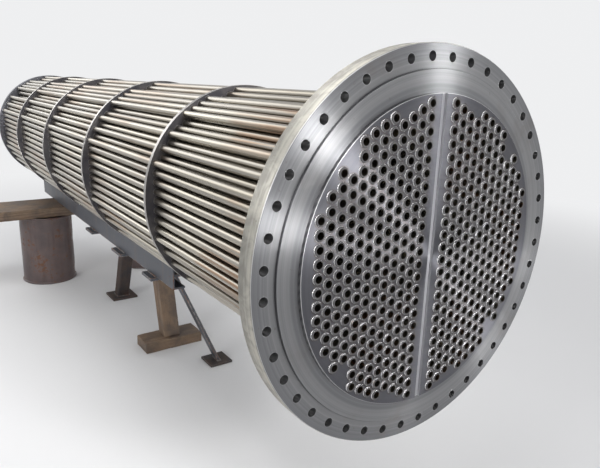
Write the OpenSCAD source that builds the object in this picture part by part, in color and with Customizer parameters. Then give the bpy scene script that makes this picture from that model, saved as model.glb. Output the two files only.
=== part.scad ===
// Shell and tube heat exchanger tube bundle on its fabrication stand.
// X runs along the tubes, +X points out of the front tubesheet, +Z is up.
// The origin is on the floor below the middle of the tubes.

/* [Tube field] */

// Outside diameter of a heat exchanger tube
tube_od = 19.05; // [17:0.05:20]
// Wall thickness of a tube
tube_wall = 2.4; // [1.6:0.1:3]
// Length of every tube from end to end
tube_length = 3140; // [3050:10:3400]
// Centre distance of neighbouring tubes in the triangular layout
tube_pitch = 25.4; // [25:0.1:26]
// Centre distance of the two tube columns beside the pass partition lane
pass_lane = 66; // [64:1:70]
// Largest distance of a tube centre from the bundle axis
tube_field_r = 295.5; // [288:0.5:296.5]
// How far the tube ends stand out of both tubesheets
tube_projection = 3; // [1:0.5:6]
// Diameter clearance of a tube in its hole
tube_clearance = 0.3; // [0.2:0.05:0.6]

/* [Front tubesheet] */

// Outside diameter of the bolting flange
flange_od = 797; // [785:1:820]
// Thickness of the bolting flange
flange_thickness = 42; // [36:1:60]
// Outside diameter of the gasket face
gasket_face_d = 706; // [690:1:715]
// Height of the gasket face above the bolting face
gasket_face_h = 6; // [3:0.5:10]
// Outside diameter of the drilled tube face
tube_face_d = 621; // [618:1:640]
// Height of the drilled tube face above the gasket face
tube_face_h = 8; // [7:0.5:14]
// Diameter of the bolt circle
bolt_circle_d = 750; // [742:1:756]
// Number of bolt holes
bolt_count = 44; // [36:4:48]
// Diameter of a bolt hole
bolt_hole_d = 18; // [14:0.5:22]
// Width of the pass partition groove
groove_w = 14; // [10:1:20]
// Depth of the pass partition groove
groove_depth = 6; // [3:0.5:6.5]
// Chamfer on the machined outer edges
edge_chamfer = 2; // [1:0.5:4]

/* [Floating tubesheet] */

// Thickness of the floating tubesheet
floating_thickness = 40; // [30:1:60]

/* [Support plates] */

// Outside diameter of the support plates and of the floating tubesheet
plate_d = 616; // [613:1:618]
// Thickness of a support plate
plate_thickness = 12; // [8:1:16]
// Distance from the bolting face to the first support plate
first_plate = 706; // [680:1:740]
// Distance from one support plate to the next
plate_spacing = 612; // [590:1:625]

/* [Tie rods] */

// Diameter of a tie rod
rod_d = 12; // [10:0.5:12.5]
// Depth to which a tie rod is screwed into the front tubesheet
rod_socket = 24; // [18:1:30]
// Diameter clearance of a tie rod in its holes
rod_clearance = 0.4; // [0.2:0.1:0.6]
// How far a tie rod stands out behind its nut
rod_overhang = 14; // [4:1:20]
// Width of a tie rod nut across its flats
nut_width = 19; // [17:0.5:20]
// Height of a tie rod nut
nut_height = 10; // [8:1:12]

/* [Rails] */

// Height of the bundle axis above the floor
axis_height = 840; // [780:5:900]
// Height of a channel rail
rail_height = 100; // [80:1:120]
// Width over both rails
rails_width = 180; // [150:2:240]
// Flange width of a channel rail
rail_flange = 45; // [35:1:60]
// Web thickness of a channel rail
rail_web = 6; // [5:0.5:10]
// Flange thickness of a channel rail
rail_flange_t = 8; // [6:0.5:10]
// Radius of the rounded root between a rail's web and its flanges
rail_root_r = 6; // [3:0.5:8]
// Distance from the bolting face to the front end of the rails
rail_front = 1060; // [1000:10:1200]
// Length of the rails
rail_length = 2040; // [1900:10:2100]
// Clearance between the support plates and the rails
seat_gap = 0.3; // [0.2:0.1:0.5]

/* [Supports] */

// Thickness of the plates under the rails
head_plate_t = 12; // [8:1:16]
// How far the plates under the rails reach past the rails and the posts
plate_margin = 24; // [10:1:30]
// Side of the square timber post
timber_post_w = 70; // [50:1:90]
// Distance from the bolting face to the top of the timber post
timber_post_x = 1624; // [1560:2:1680]
// How far the foot of the timber post stands in front of its top
timber_rake = 97; // [40:1:140]
// Thickness of the sill below the timber post
timber_sill_t = 45; // [30:1:60]
// Length of the sill below the timber post
timber_sill_l = 260; // [200:5:400]
// Side of the square steel post
steel_post_w = 60; // [50:1:80]
// Wall thickness of the square steel post
steel_post_wall = 4; // [3:0.5:6]
// Distance from the bolting face to the top of the steel post
steel_post_x = 2033; // [1960:1:2100]
// How far the foot of the steel post stands behind its top
steel_rake = 170; // [80:1:210]
// Side of the square base plate of the steel post
base_plate_w = 130; // [100:5:200]
// Thickness of the steel foot plates
base_plate_t = 10; // [6:1:16]
// Width of the flat raking leg
leg_w = 50; // [40:1:60]
// Thickness of the flat raking leg
leg_t = 12; // [8:1:16]
// Distance from the bolting face to the raking leg
leg_x = 1263; // [1200:1:1290]
// Sideways place of the raking leg's top, from the middle of the rails
leg_top = -5; // [-20:5:40]
// Sideways reach of the raking leg
leg_reach = 185; // [120:5:220]
// Distance from the bolting face to the rear plank
plank_x = 2743; // [2690:1:2790]
// Width of the rear plank
plank_w = 287; // [240:1:320]
// Thickness of the rear plank
plank_t = 52; // [38:1:60]
// Length of the rear plank
plank_length = 1120; // [1100:10:1200]
// Diameter of the drums below the rear plank
drum_d = 292; // [270:2:310]
// Distance from the bolting face to the drums
drum_x = 2715; // [2690:1:2760]
// Sideways place of the drum on the left side
left_drum_y = 172; // [150:2:380]
// Sideways place of the drum on the right side
right_drum_y = 400; // [160:2:400]
// Wall thickness of a drum
drum_wall = 3; // [2:0.5:4]
// How far the rolled rims stand out from a drum
drum_rim = 6; // [4:1:10]

/* [Hidden] */

$fn = 96;
small_fn = 32;
column_step = tube_pitch * sqrt(3) / 2;
first_column = pass_lane / 2;
columns_in_group = 3;
column_count = 12;
rod_column_number = 8;
rod_row_number = 7.5;
row_limit = 13;
face_x = tube_length / 2 - tube_projection - tube_face_h - gasket_face_h;
floating_back_x = tube_projection - tube_length / 2;
front_depth = flange_thickness + gasket_face_h + tube_face_h;
tube_hole_d = tube_od + tube_clearance;
rod_hole_d = rod_d + rod_clearance;
cut = 1;
rail_inner = rails_width / 2 - rail_flange;
rail_top = axis_height - sqrt(pow(plate_d / 2, 2) - pow(rail_inner, 2)) - seat_gap;
rail_bottom = rail_top - rail_height;
head_bottom = rail_bottom - head_plate_t;
plank_bottom = rail_bottom - plank_t;
plate_end = rails_width / 2 + plate_margin;
// Distance of a tube column's centre line from the bundle axis
function column_y(column) = first_column + column * column_step;
// Even columns are shifted by half a pitch
function row_shift(column) = column % 2 == 0 ? 0.5 : 0;
// Is this place in the layout taken by a tie rod?
function is_rod(column, row) = column == rod_column_number && abs(row) == rod_row_number;
// Centres of the tubes of some columns on one side of the lane
function tube_places(first, last) = [
    for (column = [first : last], step = [-row_limit : row_limit])
        let (row = step + row_shift(column), y = column_y(column), z = row * tube_pitch)
            if (norm([y, z]) <= tube_field_r && !is_rod(column, row)) [y, z]
];
// Centres of the four tie rods
rod_places = [
    for (side = [-1, 1], row = [-rod_row_number, rod_row_number])
        [side * column_y(rod_column_number), row * tube_pitch]
];
// Front faces of the four support plates
plate_faces = [for (place = [0 : 3]) face_x - first_plate - place * plate_spacing];

// Which node to draw

machined_steel = [0.72, 0.72, 0.74];
tube_steel = [0.78, 0.76, 0.71];
plate_steel = [0.50, 0.50, 0.54];
rod_steel = [0.55, 0.54, 0.52];
painted_steel = [0.30, 0.33, 0.38];
rusty_steel = [0.27, 0.20, 0.17];
timber = [0.45, 0.30, 0.19];
drum_steel = [0.33, 0.22, 0.20];

// Sweeps a flat shape, drawn around the bundle axis and looked at along -X, from x by length along +X
module across(x, length) {
    translate([x, 0, axis_height])
        rotate([90, 0, 90])
            linear_extrude(height = length)
                children();
}

// Circles on every tube centre of some columns, on both sides or on one
module tube_circles(diameter, first = 0, last = column_count - 1, sides = [-1, 1]) {
    for (side = sides, place = tube_places(first, last))
        translate([side * place[0], place[1]])
            circle(d = diameter, $fn = small_fn);
}

// Circles on the tie rod centres
module rod_circles(diameter) {
    for (place = rod_places)
        translate(place)
            circle(d = diameter, $fn = small_fn);
}

// Turned blank of the front tubesheet: flange, gasket face and tube face
module tubesheet_blank() {
    flange_r = flange_od / 2;
    gasket_r = gasket_face_d / 2;
    face_r = tube_face_d / 2;
    raised = gasket_face_h + tube_face_h;
    translate([face_x, 0, axis_height])
        rotate([0, 90, 0])
            rotate_extrude()
                polygon([
                    [0, -flange_thickness],
                    [flange_r - edge_chamfer, -flange_thickness],
                    [flange_r, edge_chamfer - flange_thickness],
                    [flange_r, -edge_chamfer],
                    [flange_r - edge_chamfer, 0],
                    [gasket_r, 0],
                    [gasket_r, gasket_face_h - edge_chamfer / 2],
                    [gasket_r - edge_chamfer / 2, gasket_face_h],
                    [face_r, gasket_face_h],
                    [face_r, raised - edge_chamfer / 2],
                    [face_r - edge_chamfer / 2, raised],
                    [0, raised],
                ]);
}

// Drilled through for every tube and bolt, with blind sockets for the rods and a groove in the lane
module front_tubesheet() {
    outer_x = face_x + gasket_face_h + tube_face_h;
    color(machined_steel)
        difference() {
            tubesheet_blank();
            across(face_x - flange_thickness - cut, front_depth + 2 * cut) {
                tube_circles(tube_hole_d);
                for (bolt = [0 : bolt_count - 1])
                    rotate((bolt + 0.5) * 360 / bolt_count)
                        translate([bolt_circle_d / 2, 0])
                            circle(d = bolt_hole_d, $fn = small_fn);
            }
            across(face_x - flange_thickness - cut, rod_socket + cut)
                rod_circles(rod_hole_d);
            translate([outer_x - groove_depth, -groove_w / 2, axis_height - tube_face_d / 2])
                cube([groove_depth + cut, groove_w, tube_face_d]);
        }
}

// Turned disc at the far end, drilled for every tube
module floating_tubesheet() {
    edge_r = plate_d / 2;
    color(machined_steel)
        difference() {
            translate([floating_back_x, 0, axis_height])
                rotate([0, 90, 0])
                    rotate_extrude()
                        polygon([
                            [0, 0],
                            [edge_r - edge_chamfer, 0],
                            [edge_r, edge_chamfer],
                            [edge_r, floating_thickness - edge_chamfer],
                            [edge_r - edge_chamfer, floating_thickness],
                            [0, floating_thickness],
                        ]);
            across(floating_back_x - cut, floating_thickness + 2 * cut)
                tube_circles(tube_hole_d);
        }
}

// Full round support plate, drilled for every tube and tie rod
module support_plate(front) {
    color(plate_steel)
        across(front - plate_thickness, plate_thickness)
            difference() {
                circle(d = plate_d);
                tube_circles(tube_hole_d);
                rod_circles(rod_hole_d);
            }
}

module support_plate_1() {
    support_plate(plate_faces[0]);
}

module support_plate_2() {
    support_plate(plate_faces[1]);
}

module support_plate_3() {
    support_plate(plate_faces[2]);
}

module support_plate_4() {
    support_plate(plate_faces[3]);
}

// Straight tubes of three neighbouring columns on one side of the lane
module tube_group(side, group) {
    first = group * columns_in_group;
    last = first + columns_in_group - 1;
    color(tube_steel)
        across(-tube_length / 2, tube_length)
            difference() {
                tube_circles(tube_od, first, last, [side]);
                tube_circles(tube_od - 2 * tube_wall, first, last, [side]);
            }
}

module left_tubes_inner() {
    tube_group(-1, 0);
}

module left_tubes_middle() {
    tube_group(-1, 1);
}

module left_tubes_outer() {
    tube_group(-1, 2);
}

module left_tubes_edge() {
    tube_group(-1, 3);
}

module right_tubes_inner() {
    tube_group(1, 0);
}

module right_tubes_middle() {
    tube_group(1, 1);
}

module right_tubes_outer() {
    tube_group(1, 2);
}

module right_tubes_edge() {
    tube_group(1, 3);
}

// The rods run from their sockets in the front tubesheet to behind the last support plate
module tie_rods() {
    back = plate_faces[3] - plate_thickness - nut_height - rod_overhang;
    front = face_x - flange_thickness + rod_socket;
    color(rod_steel)
        across(back, front - back - seat_gap)
            rod_circles(rod_d);
}

// A hexagon nut behind the last support plate holds each rod
module tie_rod_nuts() {
    color(rod_steel)
        across(plate_faces[3] - plate_thickness - nut_height, nut_height)
            difference() {
                for (place = rod_places)
                    translate(place)
                        circle(r = nut_width / sqrt(3), $fn = 6);
                rod_circles(rod_hole_d);
            }
}

// Spacer tubes on the rods, butting against the plates on both sides
module spacers(front, back) {
    color(tube_steel)
        across(back, front - back)
            difference() {
                rod_circles(tube_od);
                rod_circles(tube_od - 2 * tube_wall);
            }
}

module spacers_1() {
    spacers(face_x - flange_thickness, plate_faces[0]);
}

module spacers_2() {
    spacers(plate_faces[0] - plate_thickness, plate_faces[1]);
}

module spacers_3() {
    spacers(plate_faces[1] - plate_thickness, plate_faces[2]);
}

module spacers_4() {
    spacers(plate_faces[2] - plate_thickness, plate_faces[3]);
}

// Rolled channel rail on the +Y side, its web outwards and its roots rounded
module rail() {
    web_y = rails_width / 2 - rail_web;
    root_y = web_y - rail_root_r;
    low = rail_bottom + rail_flange_t;
    high = rail_top - rail_flange_t;
    color(painted_steel)
        translate([face_x - rail_front - rail_length, 0, 0])
            rotate([90, 0, 90])
                linear_extrude(height = rail_length)
                    difference() {
                        translate([rail_inner, rail_bottom])
                            square([rail_flange, rail_height]);
                        translate([rail_inner - cut, low])
                            square([root_y - rail_inner + cut, high - low]);
                        translate([rail_inner - cut, low + rail_root_r])
                            square([web_y - rail_inner + cut, high - low - 2 * rail_root_r]);
                        for (root_z = [low + rail_root_r, high - rail_root_r])
                            translate([root_y, root_z])
                                circle(r = rail_root_r);
                    }
}

module left_rail() {
    mirror([0, 1, 0])
        rail();
}

module right_rail() {
    rail();
}

// Flat plate across the underside of both rails
module head_plate(x, length) {
    color(painted_steel)
        translate([face_x - x - length / 2, -plate_end, head_bottom])
            cube([length, 2 * plate_end, head_plate_t]);
}

module timber_head_plate() {
    head_plate(timber_post_x, timber_post_w + 2 * plate_margin);
}

// Square post under the right rail, its foot on the sill set forward and both its ends cut level
module timber_post() {
    lean = atan2(timber_rake, head_bottom - timber_sill_t);
    half = timber_post_w / cos(lean) / 2;
    top_x = face_x - timber_post_x;
    foot_x = top_x + timber_rake;
    color(timber)
        translate([0, plate_end, 0])
            rotate([90, 0, 0])
                linear_extrude(height = timber_post_w)
                    polygon([
                        [foot_x - half, timber_sill_t],
                        [foot_x + half, timber_sill_t],
                        [top_x + half, head_bottom],
                        [top_x - half, head_bottom],
                    ]);
}

// Flat timber on the floor, longer across the bundle than along it
module timber_sill() {
    sill_w = timber_post_w + 2 * plate_margin;
    sill_x = face_x - timber_post_x + timber_rake;
    sill_y = plate_end - timber_post_w / 2;
    color(timber)
        translate([sill_x - sill_w / 2, sill_y - timber_sill_l / 2, 0])
            cube([sill_w, timber_sill_l, timber_sill_t]);
}

module steel_head_plate() {
    head_plate(steel_post_x, steel_post_w + 2 * plate_margin);
}

// Flat square with rounded corners
module rounded_square(width, corner) {
    place = width / 2 - corner;
    square([width, width - 2 * corner], center = true);
    square([width - 2 * corner, width], center = true);
    for (x = [-place, place], y = [-place, place])
        translate([x, y])
            circle(r = corner);
}

// Square hollow section with rounded corners, its foot set back and both its ends cut level
module steel_post() {
    rise = head_bottom - base_plate_t;
    lean = atan2(steel_rake, rise);
    foot_x = face_x - steel_post_x - steel_rake;
    post_y = plate_end - steel_post_w / 2;
    color(rusty_steel)
        intersection() {
            translate([foot_x - steel_post_w, post_y - steel_post_w, base_plate_t])
                cube([steel_rake + 2 * steel_post_w, 2 * steel_post_w, rise]);
            translate([foot_x, post_y, base_plate_t])
                rotate([0, lean, 0])
                    translate([0, 0, -steel_post_w])
                        linear_extrude(height = rise / cos(lean) + 2 * steel_post_w)
                            difference() {
                                rounded_square(steel_post_w, 2 * steel_post_wall);
                                rounded_square(steel_post_w - 2 * steel_post_wall, steel_post_wall);
                            }
        }
}

module steel_base_plate() {
    plate_x = face_x - steel_post_x - steel_rake - base_plate_w / 2;
    plate_y = plate_end - steel_post_w / 2 - base_plate_w / 2;
    color(rusty_steel)
        translate([plate_x, plate_y, 0])
            cube([base_plate_w, base_plate_w, base_plate_t]);
}

module leg_head_plate() {
    head_plate(leg_x, leg_w + 2 * plate_margin);
}

// Flat leg that leans out to the right side of the bundle
module raking_leg() {
    half = leg_t / 2;
    foot_y = leg_top + leg_reach;
    color(painted_steel)
        translate([face_x - leg_x - leg_w / 2, 0, 0])
            rotate([90, 0, 90])
                linear_extrude(height = leg_w)
                    polygon([
                        [leg_top - half, head_bottom],
                        [leg_top + half, head_bottom],
                        [foot_y + half, base_plate_t],
                        [foot_y - half, base_plate_t],
                    ]);
}

module leg_foot_plate() {
    foot = leg_w + 2 * plate_margin;
    color(rusty_steel)
        translate([face_x - leg_x - foot / 2, leg_top + leg_reach - foot / 2, 0])
            cube([foot, foot, base_plate_t]);
}

// Plank laid across the two drums under the far end of the rails
module rear_plank() {
    color(timber)
        translate([face_x - plank_x - plank_w / 2, -plank_length / 2, plank_bottom])
            cube([plank_w, plank_length, plank_t]);
}

// Steel drum turned upside down, with a rolled rim at both ends and its mouth on the floor
module drum(y) {
    outer_r = drum_d / 2;
    body_r = outer_r - drum_rim;
    inner_r = body_r - drum_wall;
    end_z = plank_bottom - drum_rim;
    color(drum_steel)
        translate([face_x - drum_x, y, 0])
            rotate_extrude()
                polygon([
                    [inner_r, 0],
                    [outer_r, 0],
                    [outer_r, 2 * drum_rim],
                    [body_r, 3 * drum_rim],
                    [body_r, end_z - 2 * drum_rim],
                    [outer_r, end_z - drum_rim],
                    [outer_r, plank_bottom],
                    [body_r, plank_bottom],
                    [body_r, end_z],
                    [0, end_z],
                    [0, end_z - drum_wall],
                    [inner_r, end_z - drum_wall],
                ]);
}

module left_drum() {
    drum(-left_drum_y);
}

module right_drum() {
    drum(right_drum_y);
}

front_tubesheet();
floating_tubesheet();
support_plate_1();
support_plate_2();
support_plate_3();
support_plate_4();
left_tubes_inner();
left_tubes_middle();
left_tubes_outer();
left_tubes_edge();
right_tubes_inner();
right_tubes_middle();
right_tubes_outer();
right_tubes_edge();
tie_rods();
tie_rod_nuts();
spacers_1();
spacers_2();
spacers_3();
spacers_4();
left_rail();
right_rail();
timber_head_plate();
timber_post();
timber_sill();
steel_head_plate();
steel_post();
steel_base_plate();
raking_leg();
leg_head_plate();
leg_foot_plate();
rear_plank();
left_drum();
right_drum();
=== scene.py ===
import math

import bmesh
import bpy
from mathutils import Matrix, Vector, noise as lumps


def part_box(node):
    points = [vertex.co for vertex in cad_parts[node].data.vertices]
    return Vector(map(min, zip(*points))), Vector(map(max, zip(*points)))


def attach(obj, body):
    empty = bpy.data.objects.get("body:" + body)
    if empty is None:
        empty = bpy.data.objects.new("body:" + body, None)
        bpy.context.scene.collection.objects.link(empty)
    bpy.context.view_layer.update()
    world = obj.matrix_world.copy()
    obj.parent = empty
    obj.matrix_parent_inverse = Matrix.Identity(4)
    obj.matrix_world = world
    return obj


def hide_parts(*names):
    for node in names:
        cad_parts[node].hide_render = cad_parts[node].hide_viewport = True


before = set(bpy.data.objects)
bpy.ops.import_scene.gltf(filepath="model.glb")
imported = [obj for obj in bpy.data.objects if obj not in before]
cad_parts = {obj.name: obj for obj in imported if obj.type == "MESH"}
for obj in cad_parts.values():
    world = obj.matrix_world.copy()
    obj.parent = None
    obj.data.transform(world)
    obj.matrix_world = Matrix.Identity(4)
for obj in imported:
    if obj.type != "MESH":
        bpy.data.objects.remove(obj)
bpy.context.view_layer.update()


# ---- Viewpoint
# The bundle is seen from in front of its bolting face and to the left of it, from a little
# above the axis. The place was fitted to the bolt holes, tube ends and support plates.

TUBE_FACE_PROUD = 0.014
sheet_low, sheet_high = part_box("front_tubesheet")
AXIS_Z = (sheet_low.z + sheet_high.z) / 2
FACE_X = sheet_high.x - TUBE_FACE_PROUD
CAMERA_PLACE = (FACE_X + 0.74022, -0.83318, AXIS_Z + 0.32295)
CAMERA_TURN = Matrix((
    (0.57365, -0.22884, 0.78648),
    (0.81850, 0.12354, -0.56106),
    (0.03123, 0.96559, 0.25818),
))


def placed(name, data):
    """A new object in the scene from its mesh, lamp or camera data."""
    made = bpy.data.objects.new(name, data)
    bpy.context.scene.collection.objects.link(made)
    return made


camera = placed("camera", bpy.data.cameras.new("camera"))
bpy.context.scene.camera = camera
camera.data.sensor_width = 36
camera.data.lens = 34.33
camera.data.clip_start = 0.05
camera.data.clip_end = 200
camera.matrix_world = Matrix.Translation(CAMERA_PLACE) @ CAMERA_TURN.to_4x4()
bpy.context.scene.view_settings.view_transform = "Standard"


# ---- Front tubesheet
# A forged steel disc turned on a lathe in three steps: bolting face, gasket face and tube face.
# It is drilled for 444 tubes and 44 studs, and a groove for the pass partition is milled across it.

TUBE_PITCH = 0.0254
COLUMN_STEP = TUBE_PITCH * math.sqrt(3) / 2
FIRST_COLUMN = 0.033
TUBE_FIELD_R = 0.2955
ROD_COLUMN = 8.0
ROD_ROW = 7.5
FLANGE_R = 0.3985
GASKET_R = 0.353
GASKET_PROUD = 0.005
TUBE_FACE_R = 0.3105
GROOVE_W = 0.014
BOLT_CIRCLE_R = 0.375
BOLT_COUNT = 44
BOLT_HOLE_R = 0.009
HEAT_REACH_R, HEAT_FULL_R = 0.0150, 0.0118


def feed(tree, socket, value):
    """Links a socket to value, or sets it where value is a plain number or colour."""
    if isinstance(value, bpy.types.NodeSocket):
        tree.links.new(value, socket)
    else:
        socket.default_value = value


def put(tree, kind, inputs=None, **settings):
    """Adds a node with its settings and inputs."""
    made = tree.nodes.new(kind)
    for name, value in settings.items():
        setattr(made, name, value)
    for place, value in (inputs or {}).items():
        feed(tree, made.inputs[place], value)
    return made


def calc(tree, operation, *values):
    """A math node's result."""
    return put(tree, "ShaderNodeMath", dict(enumerate(values)), operation=operation).outputs[0]


def product(tree, first, *others):
    """Several values multiplied together."""
    for other in others:
        first = calc(tree, "MULTIPLY", first, other)
    return first


def total(tree, first, *others):
    """Several values added together."""
    for other in others:
        first = calc(tree, "ADD", first, other)
    return first


def opposite(tree, value):
    """1 less the value."""
    return calc(tree, "SUBTRACT", 1.0, value)


def apart(tree, vector):
    """The x, y and z sockets of a vector."""
    return put(tree, "ShaderNodeSeparateXYZ", {0: vector}).outputs


def together(tree, x, y, z):
    """A vector from its x, y and z."""
    return put(tree, "ShaderNodeCombineXYZ", {0: x, 1: y, 2: z}).outputs[0]


def length_of(tree, first, second):
    """Length of a flat vector from its two parts."""
    return calc(tree, "SQRT", total(tree, product(tree, first, first), product(tree, second, second)))


def between(tree, value, low, high, to_low=0.0, to_high=1.0):
    """Maps value smoothly from low..high to to_low..to_high and clamps it there."""
    ranged = put(tree, "ShaderNodeMapRange", interpolation_type="SMOOTHSTEP")
    for place, number in enumerate((value, low, high, to_low, to_high)):
        feed(tree, ranged.inputs[place], number)
    return ranged.outputs[0]


def band(tree, value, middle, half, soft):
    """1 where value is within half of middle, and 0 further off, with a soft edge."""
    off = calc(tree, "ABSOLUTE", calc(tree, "SUBTRACT", value, middle))
    return between(tree, off, half + soft, half)


def mixed(tree, share, first, second):
    """Two colours mixed by share."""
    made = put(tree, "ShaderNodeMix", data_type="RGBA", clamp_factor=True)
    feed(tree, made.inputs[0], share)
    for place, colour in ((6, first), (7, second)):
        if isinstance(colour, tuple) and len(colour) == 3:
            colour = (*colour, 1.0)
        feed(tree, made.inputs[place], colour)
    return made.outputs[2]


def coats(tree, colour, *layers):
    """A colour with others laid over it in turn, each by its own share."""
    for share, over in layers:
        colour = mixed(tree, share, colour, over)
    return colour


def noise(tree, vector, scale, detail=3.0, rough=0.5, stretch=None, distort=0.0):
    """Soft noise from 0 to 1, longer along the axes where stretch is small."""
    if stretch:
        vector = put(tree, "ShaderNodeVectorMath", {0: vector, 1: stretch}, operation="MULTIPLY").outputs[0]
    inputs = {"Vector": vector, "Scale": scale, "Detail": detail, "Roughness": rough, "Distortion": distort}
    return put(tree, "ShaderNodeTexNoise", inputs).outputs["Fac"]


def bump(tree, height, distance, strength=1.0, under=None):
    """A bump normal from a height of 0 to 1 and the depth in metres that it stands for."""
    inputs = {"Height": height, "Distance": distance, "Strength": strength}
    if under is not None:
        inputs["Normal"] = under
    return put(tree, "ShaderNodeBump", inputs).outputs[0]


def new_finish(name):
    """A material with its node tree, its shader and its object coordinates."""
    material = bpy.data.materials.new(name)
    material.use_nodes = True
    tree = material.node_tree
    shader = tree.nodes["Principled BSDF"]
    place = put(tree, "ShaderNodeTexCoord").outputs["Object"]
    return material, tree, shader, place


def set_looks(tree, shader, colour, roughness, normal, metal=1.0):
    """Gives the shader its colour, roughness, bump and share of bare metal."""
    looks = {"Base Color": colour, "Roughness": roughness, "Normal": normal, "Metallic": metal}
    for name, value in looks.items():
        feed(tree, shader.inputs[name], value)


def round_the_axis(tree, place):
    """The coordinates x, y and height over the bundle axis, and the radius from it."""
    along, across, up = apart(tree, place)
    height = calc(tree, "SUBTRACT", up, AXIS_Z)
    return along, across, height, length_of(tree, across, height)


def to_nearest_tube(tree, across, height, rods_too=False):
    """Distance from the centre of the nearest tube of the layout, or over 1 m where there is no tube."""
    away = calc(tree, "ABSOLUTE", across)
    past_first = calc(tree, "SUBTRACT", away, FIRST_COLUMN)
    column = calc(tree, "ROUND", calc(tree, "DIVIDE", past_first, COLUMN_STEP))
    centre_y = total(tree, FIRST_COLUMN, product(tree, column, COLUMN_STEP))
    shift = product(tree, opposite(tree, calc(tree, "FLOORED_MODULO", column, 2.0)), 0.5)
    rows_up = calc(tree, "SUBTRACT", calc(tree, "DIVIDE", height, TUBE_PITCH), shift)
    row = total(tree, calc(tree, "ROUND", rows_up), shift)
    centre_z = product(tree, row, TUBE_PITCH)
    outside = calc(tree, "GREATER_THAN", length_of(tree, centre_y, centre_z), TUBE_FIELD_R)
    empty = calc(tree, "MAXIMUM", outside, calc(tree, "LESS_THAN", column, -0.5))
    if not rods_too:
        in_rod_column = calc(tree, "COMPARE", column, ROD_COLUMN, 0.1)
        in_rod_row = calc(tree, "COMPARE", calc(tree, "ABSOLUTE", row), ROD_ROW, 0.1)
        empty = calc(tree, "MAXIMUM", empty, product(tree, in_rod_column, in_rod_row))
    off_y = calc(tree, "SUBTRACT", away, centre_y)
    off_z = calc(tree, "SUBTRACT", height, centre_z)
    return total(tree, empty, length_of(tree, off_y, off_z))


def dress(material, *names):
    """Gives CAD nodes a finish."""
    for name in names:
        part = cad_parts[name]
        if not part.material_slots:
            part.data.materials.append(None)
        for held in part.material_slots:
            held.material = material


turned_steel, tree, shader, place = new_finish("turned_steel")
along, across, height, radius = round_the_axis(tree, place)
# Tool lines: bands of a fine and of a coarse feed, the same all the way round
ring_place = together(tree, radius, product(tree, along, 0.6), 0.0)
fine_lines = noise(tree, ring_place, 1400.0, 2.0)
coarse_lines = noise(tree, ring_place, 160.0, 3.0, 0.6)
broad_bands = noise(tree, ring_place, 34.0, 2.0)
smears = noise(tree, place, 9.0, 4.0, 0.6, distort=0.4)
wiped = noise(tree, place, 26.0, 4.0, 0.6, distort=1.2)
spots = noise(tree, place, 90.0, 3.0, 0.6)
# The places on the sheet: tube face, rim, heated rings, bolt holes, corners, steps and groove
tube_zone = between(tree, radius, TUBE_FACE_R + 0.0002, TUBE_FACE_R - 0.0008)
flange_rim = between(tree, radius, FLANGE_R - 0.0012, FLANGE_R - 0.0004)
on_front = between(tree, along, FACE_X - 0.003, FACE_X - 0.001)
tube_gap = to_nearest_tube(tree, across, height)
heat = product(tree, between(tree, tube_gap, HEAT_REACH_R, HEAT_FULL_R), tube_zone, on_front)
BOLT_STEP = 2 * math.pi / BOLT_COUNT
bolts_round = calc(tree, "DIVIDE", calc(tree, "ARCTAN2", height, across), BOLT_STEP)
off_bolt = calc(tree, "SUBTRACT", calc(tree, "FRACT", bolts_round), 0.5)
bolt_gap = length_of(tree, product(tree, off_bolt, BOLT_CIRCLE_R * BOLT_STEP),
                     calc(tree, "SUBTRACT", radius, BOLT_CIRCLE_R))
# A pale ring round each bolt hole is a painted highlight on its edge, also raised a little by a bump.
hole_edge = band(tree, bolt_gap, BOLT_HOLE_R + 0.0005, 0.0002, 0.0003)
# The bolt-hole walls are painted near black: painted shade inside the holes.
hole_wall = between(tree, bolt_gap, BOLT_HOLE_R + 0.0002, BOLT_HOLE_R - 0.0001)
# Thin painted highlights along the rim corner and along the lip of the tube face.
rim_corner = product(tree, band(tree, radius, FLANGE_R, 0.0012, 0.0004),
                     band(tree, along, FACE_X, 0.0010, 0.0006))
lip = band(tree, radius, TUBE_FACE_R - 0.0006, 0.0003, 0.0003)
edge_highlights = product(tree, calc(tree, "MAXIMUM", lip, rim_corner), calc(tree, "GREATER_THAN", along, 0.0))
# The walls of the gasket and tube face steps are painted dark: painted shade.
gasket_wall = product(tree, band(tree, radius, GASKET_R, 0.0004, 0.0002),
                      band(tree, along, FACE_X + GASKET_PROUD / 2, 0.0030, 0.0005))
tube_face_wall = product(tree, band(tree, radius, TUBE_FACE_R, 0.0002, 0.0002),
                         band(tree, along, FACE_X + (GASKET_PROUD + TUBE_FACE_PROUD) / 2, 0.0038, 0.0005))
step_wall_shade = calc(tree, "MAXIMUM", gasket_wall, tube_face_wall)
# The groove is painted lighter and less metallic than the face round it: a painted reflection off its walls.
in_groove = between(tree, calc(tree, "ABSOLUTE", across), GROOVE_W / 2 + 0.0004, GROOVE_W / 2 + 0.0001)
below_face = between(tree, along, FACE_X + TUBE_FACE_PROUD - 0.0001, FACE_X + TUBE_FACE_PROUD - 0.0005)
groove = product(tree, in_groove, below_face, tube_zone, on_front)
# The rim is painted lighter than the turned faces: a painted highlight, streaked with its real tool lines and
# wiping marks.
rim_streaks = total(tree, product(tree, coarse_lines, 0.6), product(tree, wiped, 0.4))
rim_colour = mixed(tree, between(tree, rim_streaks, 0.40, 0.60), (0.32, 0.308, 0.278), (0.58, 0.560, 0.500))
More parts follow.
